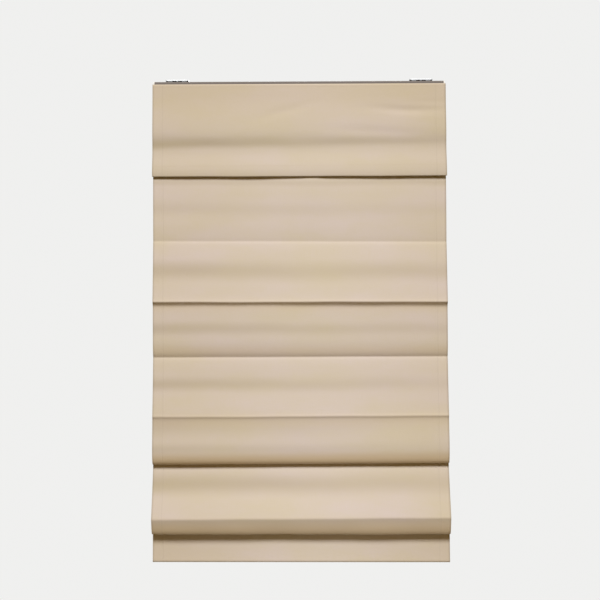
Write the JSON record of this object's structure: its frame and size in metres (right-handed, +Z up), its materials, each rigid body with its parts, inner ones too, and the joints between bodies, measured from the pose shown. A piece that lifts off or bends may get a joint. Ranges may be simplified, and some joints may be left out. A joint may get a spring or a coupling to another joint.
{
  "type": "roman blind",
  "caption": "Cordless roman blind: folded beige cloth and valance on a steel head rail, with battens, lift cords, spring motor and a weighted hem.",
  "frame": {"origin": "on the window head, midway between the two mounting brackets, on the brackets' top face", "axes": "+Z up, +X to the right seen from the room, the front of the blind faces -Y"},
  "size_m": [0.587, 0.0904, 0.959],
  "materials": {
    "cloth": "matte",
    "tape": "matte",
    "strip": "matte",
    "cord": "matte",
    "painted_steel": "satin",
    "zinc_steel": "zinc plated",
    "spring_steel": "bright",
    "white_plastic": "moulded",
    "dark_plastic": "moulded",
    "glass_fibre": "drawn rod",
    "aluminium": "mill finish"
  },
  "bodies": {
    "head": {"headrail": "painted_steel", "hook_strip": "strip", "loop_strip": "strip", "shade_cloth": "cloth", "valance": "cloth", "headrail_end_cap_left": "white_plastic", "headrail_end_cap_right": "white_plastic", "mounting_bracket_left": "zinc_steel", "mounting_bracket_right": "zinc_steel", "latch_rivet_left": "zinc_steel", "latch_rivet_right": "zinc_steel", "spool_cradle_left": "white_plastic", "spool_cradle_right": "white_plastic", "lift_cord_left": "cord", "lift_cord_right": "cord", "spring_motor_case": "white_plastic", "spring_motor_cover": "white_plastic", "storage_axle": "zinc_steel", "flat_spring": "spring_steel"},
    "lower_edge": {"bottom_bar": "aluminium", "bottom_bar_cap_left": "white_plastic", "bottom_bar_cap_right": "white_plastic", "batten_4": "glass_fibre", "batten_tape_4": "tape", "cord_rings_4": "white_plastic", "cord_stop_left": "white_plastic", "cord_stop_right": "white_plastic"},
    "batten_row_1": {"batten_1": "glass_fibre", "batten_tape_1": "tape", "cord_rings_1": "white_plastic"},
    "batten_row_2": {"batten_2": "glass_fibre", "batten_tape_2": "tape", "cord_rings_2": "white_plastic"},
    "batten_row_3": {"batten_3": "glass_fibre", "batten_tape_3": "tape", "cord_rings_3": "white_plastic"},
    "winding_shaft": {"lift_shaft": "zinc_steel", "cord_spool_left": "dark_plastic", "cord_spool_right": "dark_plastic", "output_drum": "dark_plastic"},
    "storage_drum": {"storage_drum": "dark_plastic"},
    "latch_left": {"bracket_latch_left": "white_plastic"},
    "latch_right": {"bracket_latch_right": "white_plastic"}
  },
  "joints": [
    {"name": "lift", "type": "slide", "parent": "head", "child": "lower_edge", "axis": [0, 0, 1], "range_m": [0, 0.706], "deforming": ["shade_cloth", "lift_cord_left", "lift_cord_right"]},
    {"name": "batten_rise_1", "type": "slide", "parent": "head", "child": "batten_row_1", "axis": [0, 0, 1], "range_m": [0, 0.2706]},
    {"name": "batten_rise_2", "type": "slide", "parent": "head", "child": "batten_row_2", "axis": [0, 0, 1], "range_m": [0, 0.4673]},
    {"name": "batten_rise_3", "type": "slide", "parent": "head", "child": "batten_row_3", "axis": [0, 0, 1], "range_m": [0, 0.6448]},
    {"name": "shaft_turn", "type": "hinge", "parent": "head", "child": "winding_shaft", "pos_m": [0, -0.008, -0.0215], "axis": [1, 0, 0], "range_deg": [0, 5058]},
    {"name": "storage_turn", "type": "hinge", "parent": "head", "child": "storage_drum", "pos_m": [0, 0.00918, -0.0215], "axis": [1, 0, 0], "range_deg": [-7390, 0]},
    {"name": "latch_left_swivel", "type": "hinge", "parent": "head", "child": "latch_left", "pos_m": [-0.231, 0.006, -0.005], "axis": [0, 0, -1], "range_deg": [0, 90]},
    {"name": "latch_right_swivel", "type": "hinge", "parent": "head", "child": "latch_right", "pos_m": [0.231, 0.006, -0.005], "axis": [0, 0, 1], "range_deg": [0, 90]}
  ],
  "couplings": [
    {"joint": "batten_rise_1", "follows": "lift", "ratio": 0.38326},
    {"joint": "batten_rise_2", "follows": "lift", "ratio": 0.66179},
    {"joint": "batten_rise_3", "follows": "lift", "ratio": 0.91321},
    {"joint": "shaft_turn", "follows": "lift", "rad_per_m": 125},
    {"joint": "storage_turn", "follows": "lift", "rad_per_m": -182.61}
  ]
}
